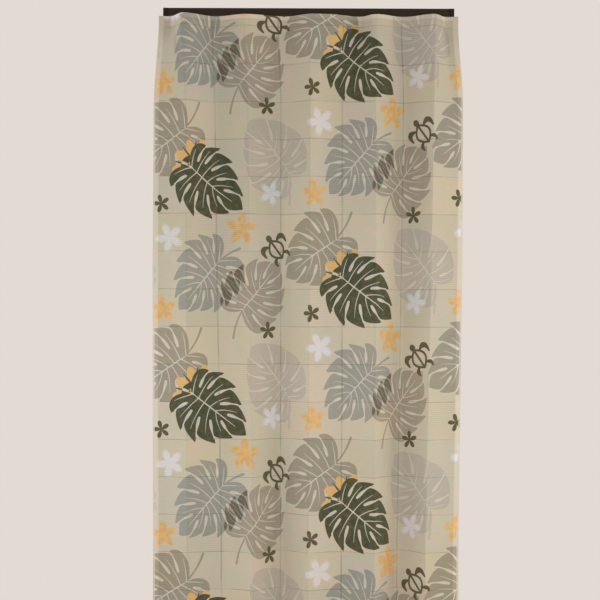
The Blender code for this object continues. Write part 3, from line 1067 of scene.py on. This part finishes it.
# The valley and peak lines are pressed creases darkened with painted shade of the folds
line_shade = math("ADD", line_shade, times(panes["Valley Line"], VALLEY_SHADE_SHARE))
line_shade = math("ADD", line_shade, times(panes["Peak Line"], PEAK_SHADE_SHARE))
line_shade = times(line_shade, single)
line_shade = math("ADD", line_shade, times(hems["Stitches"], STITCH_SHARE))
printed = mix(line_shade, printed, LINE_SHADE)
printed = mix(1.0, printed, panes["Tint"], "MULTIPLY")
printed = mix(hems["Hem"], printed, mix(1.0, printed, HEM_PALE, "MULTIPLY"))
light = math("MULTIPLY_ADD", threads["Shade"], THREAD_LIGHT, 1.0)
light = node(tree, "CombineColor", Red=light, Green=light, Blue=light).outputs[0]
colour = mix(1.0, printed, light, "MULTIPLY")
bump = node(tree, "Bump", Strength=0.35, Distance=0.0004, Height=threads["Height"])
feed(tree, shader, Base_Color=colour, Normal=bump.outputs[0], Roughness=0.85)
feed(tree, shader, Sheen_Weight=0.15, Sheen_Roughness=0.5, Specular_IOR_Level=0.25)
mesh.materials.append(look)
print(f"{look.name} has {len(tree.nodes)} nodes")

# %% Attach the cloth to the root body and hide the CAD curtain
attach(cloth, "root")
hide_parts("curtain")

# %% [markdown]
# ## Rail and caps
# The rail is an extruded plastic bar in dark brown with a satin face. Extrusion leaves faint lines
# along it, and handling leaves small differences in gloss. The lip along the rail's lower edge is
# painted a little lighter, a painted highlight where it catches the light. The caps are moulded and
# finer grained.

# %% Group: plastic grain and the lip's painted highlight
LIP_HIGHLIGHT_SHARE = 0.35
RAIL_LIP_TOP = -0.022
NO_LIP = -1.0
GRAIN_LIGHT, GLOSS_DRIFT, SMOOTHEST = 0.16, 0.25, 0.42
LIGHTER, LIP_HIGHLIGHT = paint(84, 70, 56), paint(128, 116, 100)

tree, given, close = open_group(
    "plastic_grain",
    {"Position": "Vector", "Stretch": "Vector", "Base": "Color", "Lip Top": "Float"},
    {"Color": "Color", "Roughness": "Float", "Height": "Float"},
)
streaks = node(tree, "Mapping", Vector=given["Position"], Scale=given["Stretch"]).outputs[0]
fine = noise(streaks, scale=1.0, detail=4.0)
slow = noise(given["Position"], scale=9.0)
lift = times(math("ADD", fine, slow), GRAIN_LIGHT)
shade = mix(lift, given["Base"], LIGHTER)
level = node(tree, "SeparateXYZ", Vector=given["Position"]).outputs[2]
# Painted highlight: below this level the lip is painted lighter, as if it caught the light
lip = math("LESS_THAN", level, given["Lip Top"])
shade = mix(times(lip, LIP_HIGHLIGHT_SHARE), shade, LIP_HIGHLIGHT)
rough = math("MULTIPLY_ADD", slow, GLOSS_DRIFT, SMOOTHEST)
close(Color=shade, Roughness=rough, Height=fine)

# %% Plastic materials


def plastic(name, base, stretch, bump_strength, lip_top):
    """A dark satin plastic whose grain is stretched along the piece."""
    look, tree, shader = open_material(name)
    position = node(tree, "TexCoord").outputs["Object"]
    grain = use_group(
        tree, "plastic_grain", Position=position, Stretch=stretch, Base=base, Lip_Top=lip_top
    )
    bump = node(tree, "Bump", Strength=bump_strength, Distance=0.0003, Height=grain["Height"])
    feed(tree, shader, Base_Color=grain["Color"], Roughness=grain["Roughness"])
    feed(tree, shader, Normal=bump.outputs[0], Specular_IOR_Level=0.15)
    return look


RAIL_BROWN, CAP_BROWN = paint(52, 42, 30), paint(30, 24, 19)
RAIL_GRAIN, CAP_GRAIN = (8.0, 900.0, 900.0), (700.0, 700.0, 700.0)
RAIL_BUMP, CAP_BUMP = 0.3, 0.25
rail_look = plastic("rail_plastic", RAIL_BROWN, RAIL_GRAIN, RAIL_BUMP, RAIL_LIP_TOP)
cap_look = plastic("cap_plastic", CAP_BROWN, CAP_GRAIN, CAP_BUMP, NO_LIP)
for name, look in (("rail", rail_look), ("cap_left", cap_look), ("cap_right", cap_look)):
    for slot in nodes[name].material_slots:
        slot.material = look
    print(f"{name} is {look.name}")

# %% [markdown]
# ## Stage and light
# The light in the photograph is bright and even, with more from the right, and the cloth is a
# little darker near its top. A pale surround fills every fold, one large soft lamp on the right
# models them, and a weaker one on the left lifts their other sides. The front lamp has a narrow
# spread, so it lights the middle of the drop more than the top. The floor stays plain.

# %% Floor
FLOOR_RADIUS = 0.85
FLOOR_LEVEL = -1.85
FLOOR_SIDES = 96
FLOOR_PALE = paint(214, 208, 202)
disc = oval(2 * FLOOR_RADIUS, 2 * FLOOR_RADIUS, FLOOR_SIDES).tolist()
floor_mesh = bpy.data.meshes.new("floor")
floor_mesh.from_pydata([(x, y, FLOOR_LEVEL) for x, y in disc], [], [list(range(FLOOR_SIDES))])
floor = put("floor", floor_mesh)
look, tree, shader = open_material("floor_pale")
feed(tree, shader, Base_Color=FLOOR_PALE, Roughness=0.9)
floor_mesh.materials.append(look)
print(f"The floor is a disc {2 * FLOOR_RADIUS} m wide")

# %% Surround
SURROUND_SEEN = paint(226, 218, 211)
FILL_TINT = (1.0, 0.98, 0.955, 1.0)
SURROUND_LIGHT = 0.565
world = bpy.data.worlds.new("surround")
bpy.context.scene.world = world
world.use_nodes = True
tree = world.node_tree
tree.nodes.clear()
seen = node(tree, "Background", Color=SURROUND_SEEN, Strength=1.0).outputs[0]
fill = node(tree, "Background", Color=FILL_TINT, Strength=SURROUND_LIGHT).outputs[0]
to_camera = node(tree, "LightPath").outputs["Is Camera Ray"]
choose = node(tree, "MixShader", in_0=to_camera, in_1=fill, in_2=seen)
node(tree, "OutputWorld", Surface=choose.outputs[0])
print("Surround strength:", SURROUND_LIGHT)

# %% Lamps
LAMPS = (
    # name, place, aimed at, width, height, spread in degrees, watts, colour
    ("key", (2.75, -1.05, -1.2), (0.0, 0.0, -1.1), 2.0, 2.0, 180, 30.5, (1.0, 0.93, 0.83)),
    ("left", (-2.9, -0.7, -1.4), (0.0, 0.0, -1.3), 1.8, 1.8, 180, 19.0, (1.0, 0.98, 0.96)),
    ("front", (-1.4, -3.6, -1.15), (0.0, 0.0, -1.15), 2.4, 0.6, 40, 2.6, (0.98, 0.99, 1.0)),
)
for name, spot, target, width, height, spread, watts, tint in LAMPS:
    lamp = bpy.data.lights.new(name, "AREA")
    lamp.shape = "RECTANGLE"
    lamp.size = width
    lamp.size_y = height
    lamp.spread = spread * DEGREE
    lamp.energy = watts
    lamp.color = tint
    lamp_object = put(name, lamp)
    lamp_object.location = spot
    aim = Vector(target) - Vector(spot)
    lamp_object.rotation_euler = aim.to_track_quat("-Z", "Y").to_euler()

bpy.context.scene.view_settings.view_transform = "Standard"
print("Lamps:", ", ".join(row[0] for row in LAMPS))
